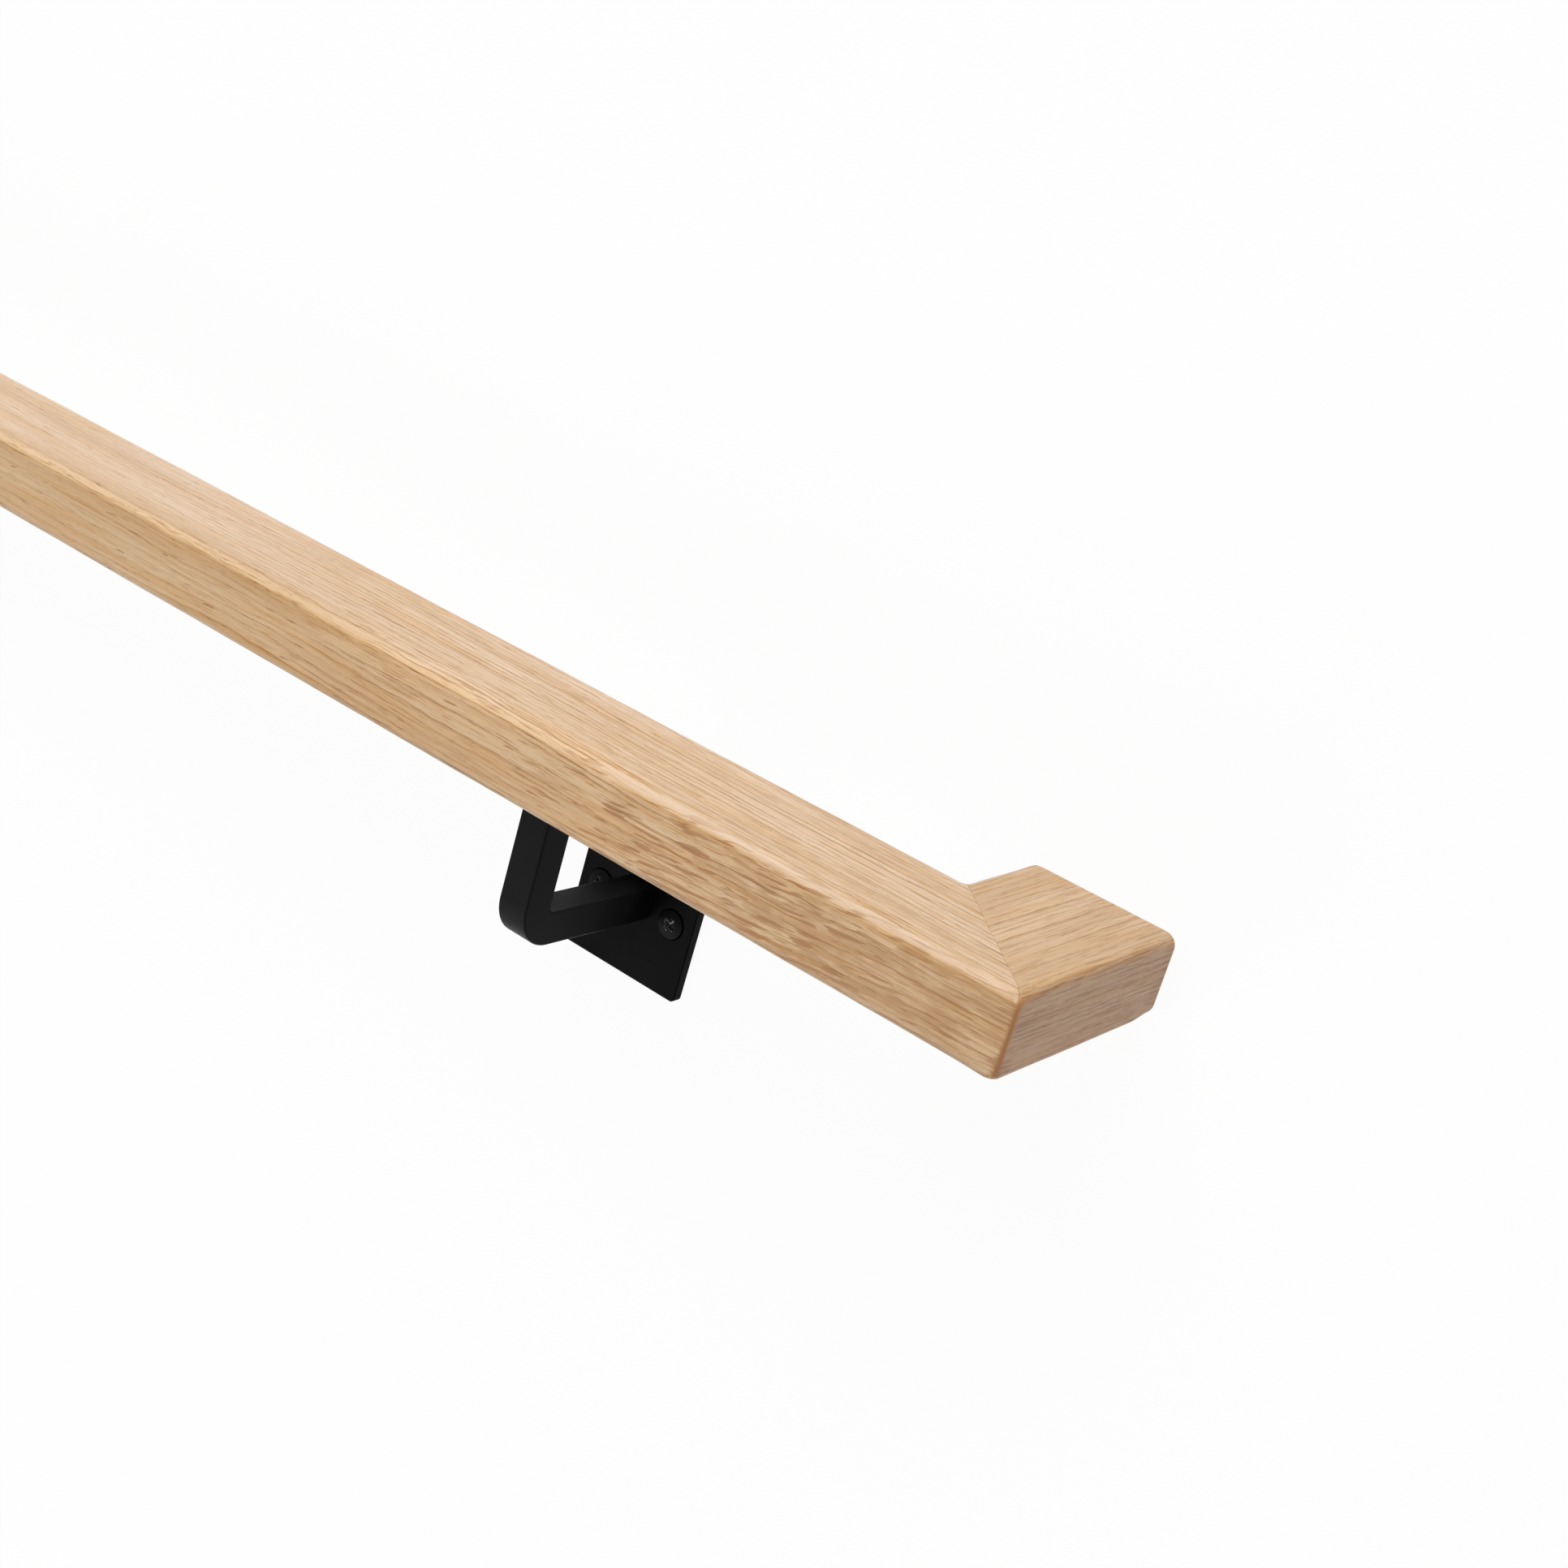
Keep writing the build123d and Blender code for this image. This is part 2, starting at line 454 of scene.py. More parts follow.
def oakMasks(tree, where, place, values):
    # which way the grain runs, how far from the rail's middle a point is, and which face it lies on
    angle = math.radians(-90 if values["alongZ"] else 0)
    turn = {"Vector": place, "Rotation": (0, angle, 0), "Location": values["offset"]}
    masks = {"place": place, "grain": addNode(tree, "ShaderNodeMapping", turn).outputs["Vector"]}
    masks["fromMiddle"] = calc(tree, "ABSOLUTE", splitAxes(tree, place)["X"])
    normal = splitAxes(tree, where["Normal"])
    up = calc(tree, "ABSOLUTE", normal["Y"])
    masks["sideways"] = between(tree, up, *oakValues["sideToTop"], 1.0, 0.0)
    out = calc(tree, "ABSOLUTE", normal["X" if values["alongZ"] else "Z"])
    masks["faceOn"] = calc(tree, "POWER", out, oakValues["faceOnPower"])
    masks["plainer"] = alongRail(tree, masks, "middleFigureRun", oakValues["middleFigure"], 1.0)
    calmer = times(tree, masks["sideways"], alongRail(tree, masks, "endFigureRun", 0.0, 1.0))
    masks["calmer"] = between(tree, calmer, 0.0, 1.0, 1.0, values["endFigure"])

    # the rounded top edge: on the rail a painted highlight where it looks up, yellow in the middle and
    # pink towards the mitres, the pink washing out the figure; brown and ragged on a return
    sanded = {"Normal": where["Normal"], "Grain": masks["grain"], **oakValues["edgeTurn"]}
    edge = useGroup(tree, edgeTurn, sanded)["Edge"]
    masks["upward"] = times(tree, edge, between(tree, normal["Y"], *oakValues["edgeLooksUp"]))
    border = calc(tree, "ADD", masks["fromMiddle"], bend(tree, masks["grain"], "highlightBorder"))
    masks["pink"] = between(tree, border, *oakValues["highlightTurnsPink"])
    fading = alongRail(tree, masks, "endHighlightRun", 1.0, oakValues["endHighlight"])
    pinkHighlight = times(tree, masks["upward"], masks["pink"], fading)
    masks["highlightWash"] = calc(tree, "MULTIPLY_ADD", pinkHighlight, -values["highlightWash"], 1.0)
    yellow = between(tree, normal["Y"], *oakValues["yellowLooksUp"], 1.0, 0.0)
    paler = alongRail(tree, masks, "middleHighlightRun", oakValues["middleHighlight"], 1.0)
    either = calc(tree, "MAXIMUM", masks["pink"], yellow)
    masks["banded"] = times(tree, masks["upward"], fading, paler, either)
    return masks


def onFace(tree, masks, strengths):  # a strength that differs between the top and the sides
    strength = between(tree, masks["sideways"], 0.0, 1.0, *strengths)
    return times(tree, strength, masks["plainer"], masks["calmer"], masks["highlightWash"])


def laid(tree, colour, name, *masks):  # one of the oak's colours, laid on as far as all the masks say
    return mixColour(tree, times(tree, *masks), colour, oakValues[name])


def paintGround(tree, figure, masks, values):  # the wood's own tone, its rings, and the painted highlight and the brown along the rounded top edge
    colour = mixColour(tree, figure["Tone"], oakValues["tan"], oakValues["cream"])
    colour = laid(tree, colour, "honey", figure["Honey"], oakValues["honeyShare"])
    fibre = between(tree, figure["Fibre"], *oakValues["fibreSpan"])
    fibre = mixColour(tree, fibre, oakValues["darkFibre"], oakValues["paleFibre"])
    colour = mixColour(tree, 1.0, colour, fibre, "MULTIPLY")
    colour = laid(tree, colour, "ringBrown", figure["Rings"], onFace(tree, masks, values["rings"]))
    browner = pattern(tree, masks["place"], "clouds")
    browner = times(tree, browner, alongRail(tree, masks, "cloudsRun", 0.0, 1.0))
    colour = laid(tree, colour, "cloudBrown", browner, masks["faceOn"], values["clouds"])
    # painted highlight: pale yellow or pink laid on the upward-looking top edge of the rail
    band = mixColour(tree, masks["pink"], oakValues["highlightYellow"], oakValues["highlightPink"])
    band = laid(tree, band, "bandLine", figure["Streaks"], masks["highlightWash"], oakValues["bandLineShare"])
    colour = mixColour(tree, times(tree, masks["banded"], values["band"]), colour, band)
    torn = pattern(tree, masks["grain"], "brownEdge")
    return laid(tree, colour, "edgeBrown", masks["upward"], torn, values["edge"])


def paintMarks(tree, colour, figure, masks, values):  # the finer and darker marks on that ground
    colour = laid(tree, colour, "streakBrown", figure["Streaks"], onFace(tree, masks, values["streaks"]))
    colour = laid(tree, colour, "fleckCream", figure["Flecks"], masks["faceOn"], oakValues["fleckShare"])
    rays = (figure["Ray Ends"], masks["faceOn"], masks["calmer"], values["rays"])
    colour = laid(tree, colour, "rayBrown", *rays)
    colour = laid(tree, colour, "lineBrown", figure["Lines"], onFace(tree, masks, values["lines"]))
    colour = laid(tree, colour, "poreBrown", figure["Pores"], masks["highlightWash"], values["pores"])
    return laid(tree, colour, "speckBrown", figure["Specks"], oakValues["speckShare"])


def paintFinish(tree, colour, masks, mitre, values):  # the colour a little darker in the middle of the rail and near its mitres; painted shade that makes the sides darker and warmer than the top; and the mitre
    shade = alongRail(tree, masks, "middleShadeRun", oakValues["middleShade"], 1.0)
    shade = times(tree, shade, alongRail(tree, masks, "endShadeRun", 1.0, oakValues["endShade"]))
    colour = mixColour(tree, 1.0, colour, grey(tree, shade), "MULTIPLY")
    faceShade = mixColour(tree, masks["sideways"], values["topPaintedShade"], values["sidePaintedShade"])
    colour = mixColour(tree, 1.0, colour, faceShade, "MULTIPLY")
    colour = laid(tree, colour, "lineBrown", mitre["Line"], oakValues["glueShare"])
    return laid(tree, colour, "soakBrown", mitre["Soak"], masks["sideways"], values["soak"])


def buildOak(name, values):
    material, tree, shader = newMaterial(name)
    where = addNode(tree, "ShaderNodeTexCoord").outputs
    place = placeInMillimetres(tree, where)
    masks = oakMasks(tree, where, place, values)
    density = between(tree, masks["fromMiddle"], *values["raysRun"], values["fewRays"], 1.0)
    ripple = between(tree, masks["sideways"], 0.0, 1.0, *values["ripple"])
    looks = {"Grain": masks["grain"], "Wander": values["wander"], "Ripple": ripple, "Lean": values["lean"],
             "Ray Density": density}
    figure = useGroup(tree, oakFigure, looks)
    mitre = useGroup(tree, mitreStain, {"Place": place, "Soak Width": values["soakWidth"]})
    colour = paintGround(tree, figure, masks, values)
    colour = paintMarks(tree, colour, figure, masks, values)
    colour = paintFinish(tree, colour, masks, mitre, values)
    tree.links.new(colour, shader.inputs["Base Color"])

    grooves = calc(tree, "ADD", figure["Pores"], times(tree, figure["Rings"], oakValues["ringGroove"]))
    grooves = calc(tree, "ADD", grooves, times(tree, figure["Lines"], oakValues["lineGroove"]))
    grooves = calc(tree, "ADD", grooves, times(tree, mitre["Line"], oakValues["glueGroove"]))
    relief = {"Height": times(tree, grooves, -1.0), "Strength": oakValues["bump"],
              "Distance": oakValues["bumpDepth"]}
    tree.links.new(addNode(tree, "ShaderNodeBump", relief).outputs[0], shader.inputs["Normal"])
    rough = calc(tree, "MULTIPLY_ADD", figure["Pores"], oakValues["poreRoughness"], oakValues["roughness"])
    tree.links.new(rough, shader.inputs["Roughness"])
    shader.inputs["Coat Weight"].default_value = oakValues["coat"]
    shader.inputs["Coat Roughness"].default_value = oakValues["coatRoughness"]
    return material


railFinish = buildOak("clearFinishedOakRail", railOak)
returnFinish = buildOak("clearFinishedOakReturn", returnOak)


# Black coats of the brackets and screws. peel is the size of the coat's ripple, in millimetres.

powderCoat = {
    "base": (0.0018, 0.0018, 0.0018, 1), "dusty": (0.0064, 0.0064, 0.0064, 1),
    "roughness": 0.46, "specular": 0.07, "peel": 0.9, "peelBump": 0.12,
}
# painted shade: the plates get a darker copy of the bars' black coat, as the rail shades them
shadedPlateCoat = {
    "base": (0.0006, 0.0006, 0.0006, 1), "dusty": (0.0022, 0.0022, 0.0022, 1),
    "roughness": 0.50, "specular": 0.045, "peel": 0.9, "peelBump": 0.12,
}
screwCoat = {
    "base": (0.0006, 0.0006, 0.0006, 1), "dusty": (0.0020, 0.0020, 0.0020, 1),
    "roughness": 0.42, "specular": 0.06, "peel": 0.5, "peelBump": 0.05,
}
recessGloss = {
    "base": (0.0020, 0.0020, 0.0021, 1), "dusty": (0.0020, 0.0020, 0.0021, 1),
    "roughness": 0.12, "specular": 0.5, "peel": 0.5, "peelBump": 0.02,
}
# painted shade: the crease round a screw head is matte black and reflects nothing
creaseShadeBlack = {
    "base": (0.0003, 0.0003, 0.0003, 1), "dusty": (0.0003, 0.0003, 0.0003, 1),
    "roughness": 0.80, "specular": 0.0, "peel": 0.5, "peelBump": 0.02,
}
coatValues = {
    "dustShare": 0.5,
    "dustRoughness": 0.10,
    "edgeRagged": 0.15,
    "edgeRoughness": -0.08,  # handled edges are a little smoother
    "peelDepth": 0.1 * mm,
}


def buildSteel(name, values):
    material, tree, shader = newMaterial(name)
    where = addNode(tree, "ShaderNodeTexCoord").outputs
    place = placeInMillimetres(tree, where)
    dust = pattern(tree, place, "dust")
    handled = {"Normal": where["Normal"], "Grain": place, "Ragged": coatValues["edgeRagged"]}
    edge = useGroup(tree, edgeTurn, handled)["Edge"]
    dusted = times(tree, dust, coatValues["dustShare"])
    tree.links.new(mixColour(tree, dusted, values["base"], values["dusty"]), shader.inputs["Base Color"])
    rough = calc(tree, "MULTIPLY_ADD", dust, coatValues["dustRoughness"], values["roughness"])
    rough = calc(tree, "MULTIPLY_ADD", edge, coatValues["edgeRoughness"], rough)
    tree.links.new(rough, shader.inputs["Roughness"])
    relief = {"Height": cloud(tree, place, (values["peel"],) * 3), "Strength": values["peelBump"],
              "Distance": coatValues["peelDepth"]}
    tree.links.new(addNode(tree, "ShaderNodeBump", relief).outputs[0], shader.inputs["Normal"])
    shader.inputs["Specular IOR Level"].default_value = values["specular"]
    return material


barFinish = buildSteel("blackPowderCoat", powderCoat)
shadedPlateFinish = buildSteel("blackPlateCoatShaded", shadedPlateCoat)
screwFinishes = [buildSteel("blackScrewCoat", screwCoat), buildSteel("glossyScrewRecess", recessGloss),
                 buildSteel("blackScrewCreaseShade", creaseShadeBlack)]
print("materials ready")


# Oak pieces: the moulded section with hand-eased edges, skinned between mitres.
# Each corner has how far its round reaches along the flat face and along the side, in millimetres.
# crisp is 1 where the top front round ends at the side in an edge, and 0 where it runs out.

sectionValues = {
    "roundSteps": 9,
    "flatSteps": (0.02, 0.25, 0.5, 0.75, 0.98),
    "station": 2.5 * mm,
    "endStations": (0.0, 0.25, 0.55, 0.9, 1.4, 2.0, 2.8, 4.0),  # millimetres from either end
    "returnSample": 50.0 * mm,  # place on a return where its plain section is read
    "sharpAngle": 35,
    "quarterHandle": 0.5523,  # handle length that makes a quarter circle
    "crispHandles": (0.75, 0.30),  # and those on the flat and on the side where the round is crisp
    "arris": 1.5 * mm,  # rounding in plan of the outer arris, and more of it by the underside and the top
    "underArris": 2.0 * mm,
    "topArris": 0.8 * mm,
    "arrisRun": 7.0 * mm,
    "arrisDepth": 9.0 * mm,
    "valleyRadius": 4.5 * mm,  # rounding in plan of the inner corner
    "valleyDepth": 9.0 * mm,  # how deep into the wood that rounding fades out
    "endEase": 0.6 * mm,  # sanded all round a return's wall end
    "mitreBlend": 16.0 * mm,  # how far the shapes at the mitre and at the wall end run on
    "wallBlend": 14.0 * mm,
    "rail": {
        "topFront": (6.0, 4.3), "topBack": (6.3, 6.3), "bottomFront": (3.4, 3.4), "bottomBack": (3.0, 3.0),
        "crisp": 1.0,
    },
    "return": {
        "topFront": (3.4, 3.4), "topBack": (5.8, 5.8), "bottomFront": (2.6, 2.6), "bottomBack": (2.6, 2.6),
        "crisp": 0.0,
    },
    "atMitre": {
        "topFront": (5.0, 4.2), "topBack": (6.2, 6.2), "bottomFront": (2.7, 2.7), "bottomBack": (2.8, 2.8),
        "crisp": 0.5,
    },
    "atWall": {
        "topFront": (4.4, 4.4), "topBack": (5.3, 5.3), "bottomFront": (4.7, 4.7), "bottomBack": (2.6, 2.6),
        "crisp": 0.0,
    },
    "waves": {"topFront": 0.24, "topBack": 0.10, "bottomFront": 0.12, "bottomBack": 0.08},
    "wavesOnFlat": ((0.8, 31, 0), (0.4, 11, 20)),  # share, length in millimetres, seed
    "wavesOnSide": ((1.2, 24, 40), (0.5, 9, 60)),
}
farAway = 1.0  # a distance at which no end shapes the section


def swell(waves, along, seed):  # waves of several lengths, added up
    return sum(share * wander(along, length, seed + shift) for share, length, shift in waves)


def shapeAt(place, fromMitre, fromWall, kind, seed):
    # each corner's reach along the flat and the side, and how crisp the front is, at a place on the piece
    nearMitre = 1 - ease(fromMitre / sectionValues["mitreBlend"])
    nearWall = 1 - ease(fromWall / sectionValues["wallBlend"])
    plain, mitre, wall = sectionValues[kind], sectionValues["atMitre"], sectionValues["atWall"]
    corners = {}
    for index, (corner, swing) in enumerate(sectionValues["waves"].items()):
        along = place / mm
        first = seed + index * 2
        strength = swing * (1 - nearMitre)
        deep = 1 + strength * swell(sectionValues["wavesOnFlat"], along, first)
        high = 1 + strength * swell(sectionValues["wavesOnSide"], along, first)
        reach = []
        for k in (0, 1):
            free = lerp(plain[corner][k], mitre[corner][k], nearMitre)
            reach.append(lerp(free, wall[corner][k], nearWall))
        corners[corner] = (reach[0] * deep * mm, reach[1] * high * mm)
    crisp = lerp(lerp(plain["crisp"], mitre["crisp"], nearMitre), wall["crisp"], nearWall)
    return corners, crisp


def sectionLoop(corners, crisp):
    # points as (depth from the back or inner side, height from the underside)
    rounds = [
        ("bottomFront", railWidth, 0.0, True),
        ("topFront", railWidth, railHeight, False),
        ("topBack", 0.0, railHeight, True),
        ("bottomBack", 0.0, 0.0, False),
    ]
    quarter = sectionValues["quarterHandle"]
    crispFlat, crispSide = sectionValues["crispHandles"]
    loop = []
    for corner, depth, height, flatFirst in rounds:
        tip = Vector((depth, height, 0))
        onFlat = tip + Vector((-1 if depth else 1, 0, 0)) * corners[corner][0]
        onSide = tip + Vector((0, -1 if height else 1, 0)) * corners[corner][1]
        sharpened = crisp if corner == "topFront" else 0.0
        flatHandle = onFlat.lerp(tip, lerp(quarter, crispFlat, sharpened))
        sideHandle = onSide.lerp(tip, lerp(quarter, crispSide, sharpened))
        points = [onFlat, flatHandle, sideHandle, onSide]
        if not flatFirst:
            points.reverse()
        loop += geometry.interpolate_bezier(*points, sectionValues["roundSteps"] + 1)
    full = []
    for k, (a, b) in enumerate(zip(loop, loop[1:] + loop[:1])):
        full.append((a.x, a.y))
        if (k + 1) % (sectionValues["roundSteps"] + 1) == 0:
            full += [(lerp(a.x, b.x, t), lerp(a.y, b.y, t)) for t in sectionValues["flatSteps"]]
    return full


def valleyFill(depth, away):
    # how far the rounded inner corner draws a point out of the wood, at a distance from the mitre
    radius = sectionValues["valleyRadius"]
    inside = max(radius * math.sqrt(0.5) - away, 0.0)
    rise = radius - math.sqrt(radius * radius - inside * inside)
    return rise * (1 - ease(depth / sectionValues["valleyDepth"]))


def easeArris(x, z, depth, height):
    # rounds the upright outer arris, seen from the top, at every depth near the outside
    inset = railWidth - depth
    low = 1 - ease(height / sectionValues["arrisRun"])
    high = 1 - ease((railHeight - height) / sectionValues["arrisRun"])
    size = sectionValues["arris"] + low * sectionValues["underArris"] + high * sectionValues["topArris"]
    size *= 1 - ease(inset / sectionValues["arrisDepth"])
    middle = (railEnd - inset - size, railFront - inset - size)
    u, w = abs(x) - middle[0], z - middle[1]
    if size > 0 and u > 0 and w > 0 and math.hypot(u, w) > size:
        pull = size / math.hypot(u, w)
        return math.copysign(middle[0] + u * pull, x), middle[1] + w * pull
    return x, z


def stationsOver(length):
    # shares of the length, close together near both ends
    near = [place * mm for place in sectionValues["endStations"]]
    count = max(1, round((length - 2 * near[-1]) / sectionValues["station"]))
    middle = [lerp(near[-1], length - near[-1], k / count) for k in range(1, count)]
    return [place / length for place in near + middle + [length - place for place in reversed(near)]]


def buildRail():
    loops = []
    nominal = sectionLoop(*shapeAt(0, farAway, farAway, "rail", 1))
    for share in stationsOver(2 * railEnd):
        loop = []
        for index, (depth, height) in enumerate(nominal):
            reach = railEnd - railWidth + depth
            x = lerp(-reach, reach, share)
            depth, height = sectionLoop(*shapeAt(x, reach - abs(x), farAway, "rail", 1))[index]
            reach = railEnd - railWidth + depth - valleyFill(depth, 0)
            x = lerp(-reach, reach, share)
            depth -= valleyFill(depth, reach - abs(x))
            x, z = easeArris(x, railBack + depth, depth, height)
            loop.append((x, railBottom + height, z))
        loops.append(loop)
    verts, faces = joinLoops(loops)
    return meshObject("oakRail", verts, faces, sectionValues["sharpAngle"])


def buildReturn(name, side, seed):
    loops = []
    nominal = sectionLoop(*shapeAt(sectionValues["returnSample"], farAway, farAway, "return", seed))
    for share in stationsOver(railFront):
        loop = []
        for index, (depth, height) in enumerate(nominal):
            z = (railBack + depth) * share
            depth, height = sectionLoop(*shapeAt(z, railBack + depth - z, z, "return", seed))[index]
            reach = railBack + depth - valleyFill(depth, 0)
            z = reach * share
            depth -= valleyFill(depth, reach - z)
            over = max(sectionValues["endEase"] - z, 0.0)
            inset = sectionValues["endEase"] - math.sqrt(sectionValues["endEase"] ** 2 - over ** 2)
            depth = lerp(inset, railWidth - inset, depth / railWidth)
            height = lerp(inset, railHeight - inset, height / railHeight)
            x, z = easeArris(side * (railEnd - railWidth + depth), z, depth, height)
            loop.append((x, railBottom + height, z))
        loops.append(loop)
    verts, faces = joinLoops(loops)
    return meshObject(name, verts, faces, sectionValues["sharpAngle"])


def placeOak(piece, node, material):
    piece.data.materials.append(material)
    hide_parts(node)
    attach(piece, "root")


placeOak(buildRail(), "rail", railFinish)
placeOak(buildReturn("oakReturnRight", 1, 5), "return_right", returnFinish)
placeOak(buildReturn("oakReturnLeft", -1, 9), "return_left", returnFinish)
print("oak pieces made")


# Brackets keep their own shapes; screws are added in their holes

for side in ("left", "right"):
    for node in ("arm", "wall_plate", "saddle_plate"):
        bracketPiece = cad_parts[f"{node}_{side}"]
        bracketPiece.data.materials.clear()
        bracketPiece.data.materials.append(barFinish if node == "arm" else shadedPlateFinish)
print("brackets dressed")

screwValues = {
    "wall_plate": {
        "holeMargin": 10.0 * mm, "headRadius": 5.85 * mm, "crease": 0.45 * mm,
        "rim": 0.50 * mm, "crown": 1.3 * mm, "recess": 1.5 * mm,
        "shankRadius": 2.3 * mm, "coneDepth": 0.0, "length": 3.7 * mm,
        "outward": (0, 0, 1), "twists": (24, 61),
    },
    "saddle_plate": {
        "holeMargin": 9.0 * mm, "headRadius": 4.5 * mm, "crease": 0.0,
        "rim": -0.05 * mm, "crown": -0.05 * mm, "recess": 1.5 * mm,
        "shankRadius": 2.3 * mm, "coneDepth": 2.25 * mm, "length": 3.4 * mm,
        "outward": (0, -1, 0), "twists": (8, 40),
    },
    "sides": 96,
    "rings": 28,
    "seatGap": 0.02 * mm,
    "crossHalfWidth": 0.80 * mm,
    "crossReach": 2.6 * mm,
    "crossSlope": 0.35 * mm,
    "crossTaper": 0.55,  # share of the recess's depth that is lost on the way to its ends
    "carvedFrom": 0.05 * mm,  # depth from which a face counts as the recess's
    "sharpAngle": 40,
}
headPart, recessPart, creasePart = range(3)  # places in the list of screw finishes


def recessDepth(x, y, deepest):
    # cross-shaped driver recess, deepest in the middle, with sloping walls
    half, reach = screwValues["crossHalfWidth"], screwValues["crossReach"]
    inside = max(min(half - abs(x), reach - abs(y)), min(half - abs(y), reach - abs(x)))
    wall = ease(inside / screwValues["crossSlope"])
    return deepest * wall * (1 - screwValues["crossTaper"] * math.hypot(x, y) / reach)


def screwRings(values):
    # radius, height and finish of each ring: a domed or flat head, the crease round it in painted shade,
    # and the shank
    radius = values["headRadius"] - values["crease"]
    gap = screwValues["seatGap"]
    foot = min(values["rim"] - gap, gap)  # just off the plate, and always under the rim
    rings = []
    for k in range(1, screwValues["rings"] + 1):
        share = k / screwValues["rings"]
        rings.append((radius * share, lerp(values["crown"], values["rim"], share * share), headPart))
    rings.append((radius, foot, creasePart))
    if values["crease"]:
        rings.append((values["headRadius"], foot, creasePart))
    rings.append((values["shankRadius"], -values["coneDepth"], headPart))
    rings.append((values["shankRadius"], -values["length"], headPart))
    return rings


def buildScrew(name, seat, values, twist):
    sides = screwValues["sides"]
    rings = screwRings(values)
    outward = Vector(values["outward"])
    turn = Matrix.Translation(seat) @ outward.to_track_quat("Z", "Y").to_matrix().to_4x4()
    turn = turn @ Matrix.Rotation(math.radians(twist), 4, "Z")
    verts = [turn @ Vector((0, 0, values["crown"] - values["recess"]))]
    cuts = [values["recess"]]
    for index, (ring, height, part) in enumerate(rings):
        for k in range(sides):
            angle = 2 * math.pi * k / sides
            x, y = ring * math.cos(angle), ring * math.sin(angle)
            cuts.append(recessDepth(x, y, values["recess"]) if index < screwValues["rings"] else 0.0)
            verts.append(turn @ Vector((x, y, height - cuts[-1])))
    faces = [(0, 1 + k, 1 + (k + 1) % sides) for k in range(sides)]
    parts = [recessPart] * sides
    for row in range(len(rings) - 1):
        for k in range(sides):
            a, b = 1 + row * sides + k, 1 + row * sides + (k + 1) % sides
            faces.append((a, b, b + sides, a + sides))
            carved = max(cuts[corner] for corner in faces[-1]) > screwValues["carvedFrom"]
            parts.append(recessPart if carved else rings[row + 1][2])
    faces.append(tuple(range(len(verts) - sides, len(verts))))
    parts.append(headPart)
    piece = meshObject(name, verts, faces, screwValues["sharpAngle"])
    for finish in screwFinishes:
        piece.data.materials.append(finish)
    piece.data.polygons.foreach_set("material_index", parts)
    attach(piece, "root")


def seatsOn(node, side):  # middles of a plate's two holes, on the face that the heads lie on
    low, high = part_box(f"{node}_{side}")
    seats = []
    for hand in (-1, 1):
        seat = (low + high) / 2
        seat.x += hand * ((high.x - low.x) / 2 - screwValues[node]["holeMargin"])
        if node == "wall_plate":
            seat.z = high.z
        else:
            seat.y = low.y
        seats.append(seat)
    return seats


for side in ("left", "right"):
    for node, label in (("wall_plate", "wallScrew"), ("saddle_plate", "saddleScrew")):
        values = screwValues[node]
        for index, seat in enumerate(seatsOn(node, side)):
            buildScrew(f"{label}_{side}_{index + 1}", seat, values, values["twists"][index])
print("screws made")


# Floor, light and camera

studioValues = {
    "floorSize": 6.0,
    "floorWhite": 0.95,
    "shadowShare": 0.06,  # how much of the floor's own shading shows, beside plain white
    "worldLevel": 0.38,
    "lampAim": (0.1, 0, 0),
    "keyLamp": {"place": (0.0, 2.3, 1.25), "size": 2.4, "power": 59.5},
    "lowFrontLamp": {"place": (-0.5, -1.4, 1.5), "size": 1.4, "power": 16},
    "lens": 52.864,
    "sensor": 36.0,
    "cameraPlace": (0.69894, 0.296125, 0.63698),
    "cameraRight": (0.76592, 0.26869, -0.58411),
    "cameraDown": (0.40555, -0.90685, 0.11463),
}


def mixShader(tree, factor, a, b):
    return addNode(tree, "ShaderNodeMixShader", {0: factor, 1: a, 2: b}).outputs[0]


def seenDirectly(tree):
    path = addNode(tree, "ShaderNodeLightPath").outputs
    through = calc(tree, "MAXIMUM", path["Is Glossy Ray"], path["Is Transmission Ray"])
    return calc(tree, "MAXIMUM", path["Is Camera Ray"], through)


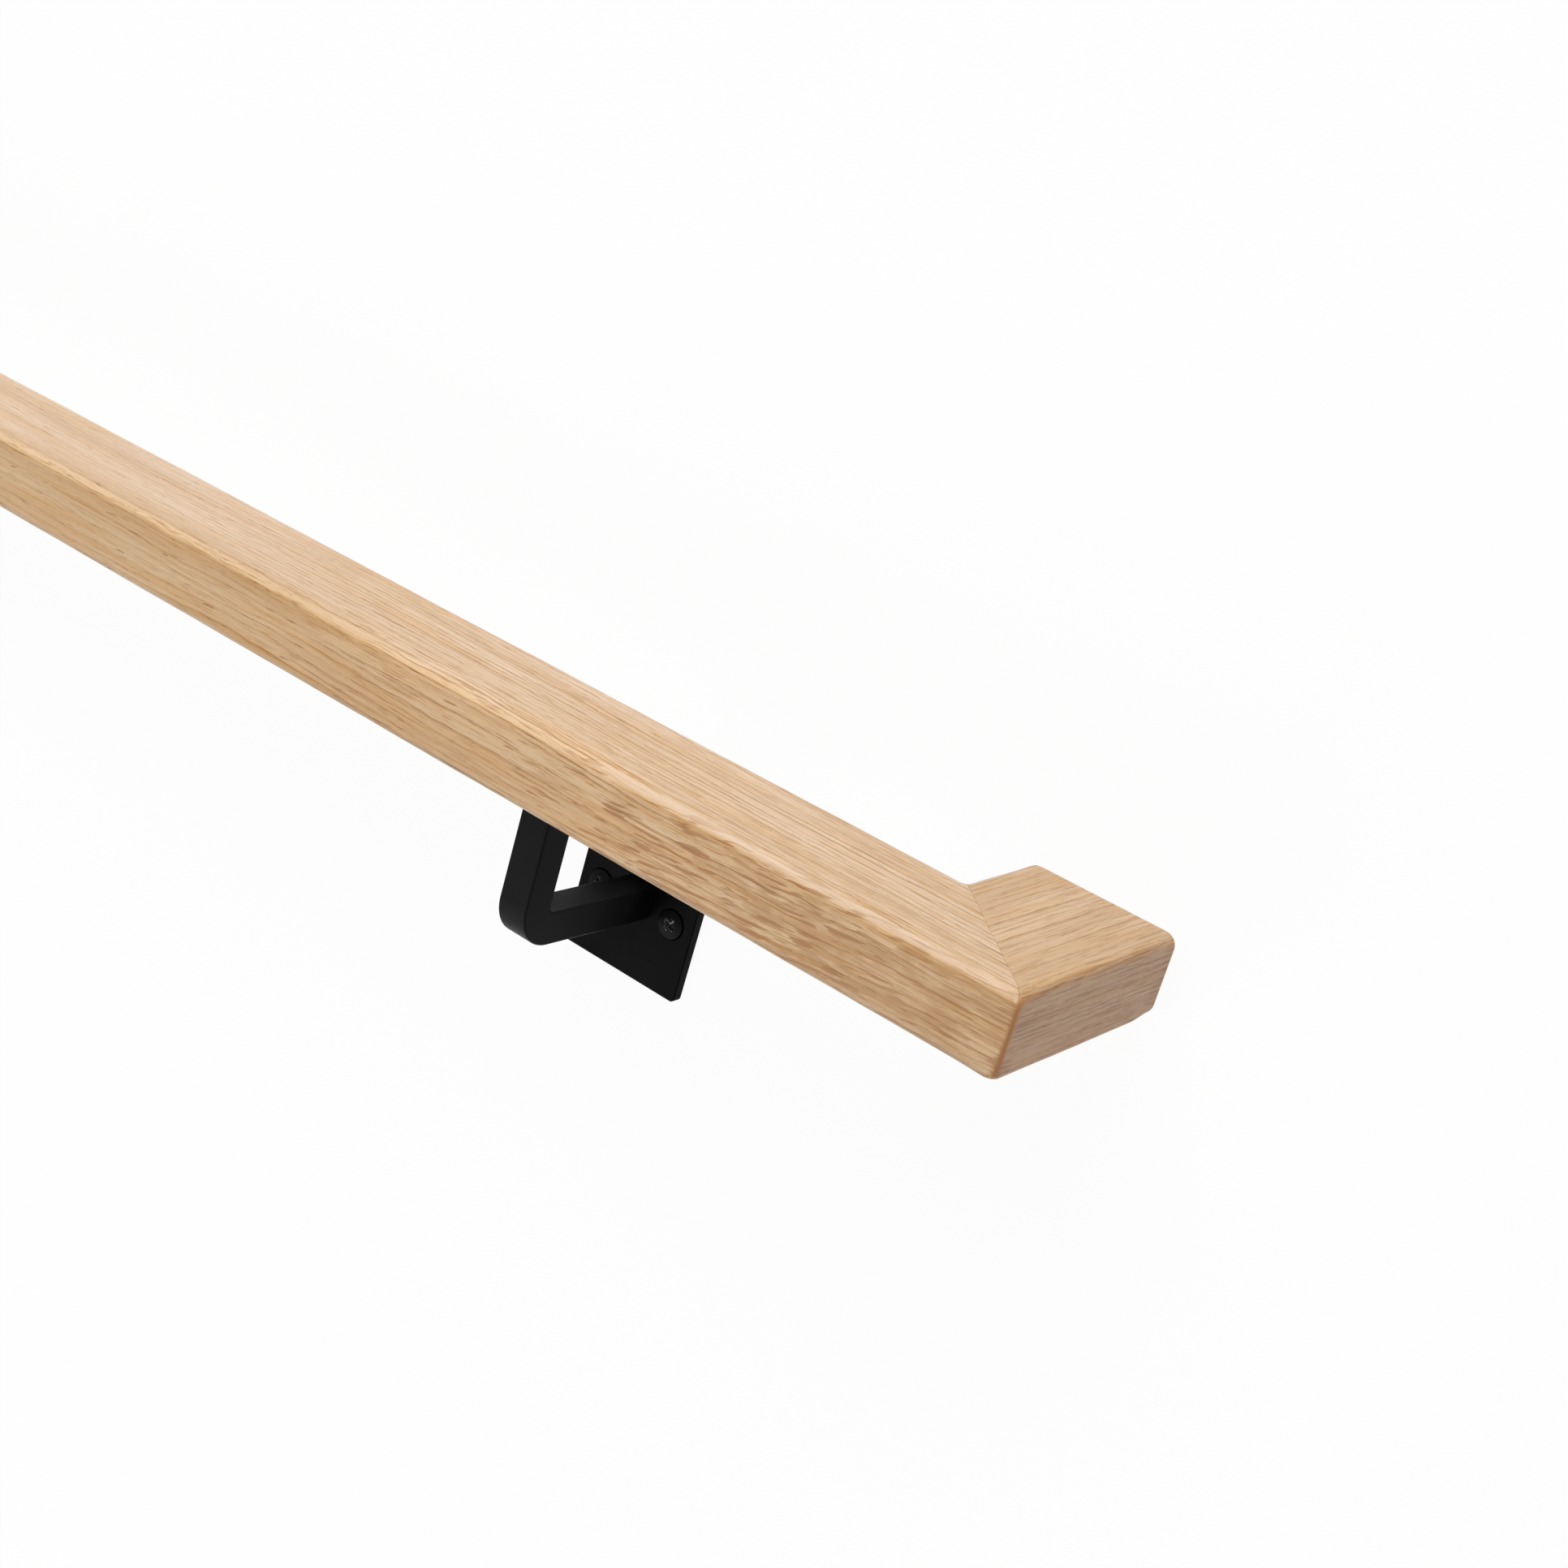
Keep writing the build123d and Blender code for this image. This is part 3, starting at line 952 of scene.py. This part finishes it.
def buildFloor():
    half = studioValues["floorSize"] / 2
    corners = [(-half, -half, 0), (half, -half, 0), (half, half, 0), (-half, half, 0)]
    floor = meshObject("floor", corners, [(0, 1, 2, 3)])
    material, tree, shader = newMaterial("whiteFloor")
    tree.nodes.remove(shader)
    white = studioValues["floorWhite"]
    diffuse = addNode(tree, "ShaderNodeBsdfDiffuse", {"Color": (white, white, white, 1)}).outputs[0]
    glow = addNode(tree, "ShaderNodeEmission", {"Color": (1, 1, 1, 1), "Strength": 1.0}).outputs[0]
    shown = mixShader(tree, studioValues["shadowShare"], glow, diffuse)
    final = mixShader(tree, seenDirectly(tree), diffuse, shown)
    tree.links.new(final, tree.nodes["Material Output"].inputs["Surface"])
    floor.data.materials.append(material)


def buildWorld():
    world = bpy.data.worlds.new("studioWhite")
    bpy.context.scene.world = world
    world.use_nodes = True
    tree = world.node_tree
    dim = tree.nodes["Background"]
    dim.inputs["Color"].default_value = (1, 1, 1, 1)
    dim.inputs["Strength"].default_value = studioValues["worldLevel"]
    white = addNode(tree, "ShaderNodeBackground", {"Color": (1, 1, 1, 1), "Strength": 1.0}).outputs[0]
    final = mixShader(tree, seenDirectly(tree), dim.outputs[0], white)
    tree.links.new(final, tree.nodes["World Output"].inputs["Surface"])


def buildLamp(name):
    values = studioValues[name]
    place = Vector(values["place"])
    data = bpy.data.lights.new(name, "AREA")
    data.shape = "SQUARE"
    data.size = values["size"]
    data.energy = values["power"]
    lamp = bpy.data.objects.new(name, data)
    lamp.location = place
    lamp.rotation_euler = (Vector(studioValues["lampAim"]) - place).to_track_quat("-Z", "Y").to_euler()
    bpy.context.scene.collection.objects.link(lamp)


def buildCamera():
    data = bpy.data.cameras.new("camera")
    data.sensor_width = studioValues["sensor"]
    data.lens = studioValues["lens"]
    data.clip_start = 0.01
    data.clip_end = 50.0
    camera = bpy.data.objects.new("camera", data)
    right = Vector(studioValues["cameraRight"])
    down = Vector(studioValues["cameraDown"])
    turn = Matrix((right, -down, -right.cross(down))).transposed()
    camera.matrix_world = Matrix.Translation(studioValues["cameraPlace"]) @ turn.to_4x4()
    bpy.context.scene.collection.objects.link(camera)
    bpy.context.scene.camera = camera


buildFloor()
buildWorld()
buildLamp("keyLamp")
buildLamp("lowFrontLamp")
buildCamera()
bpy.context.scene.view_settings.view_transform = "Standard"
print("studio ready")
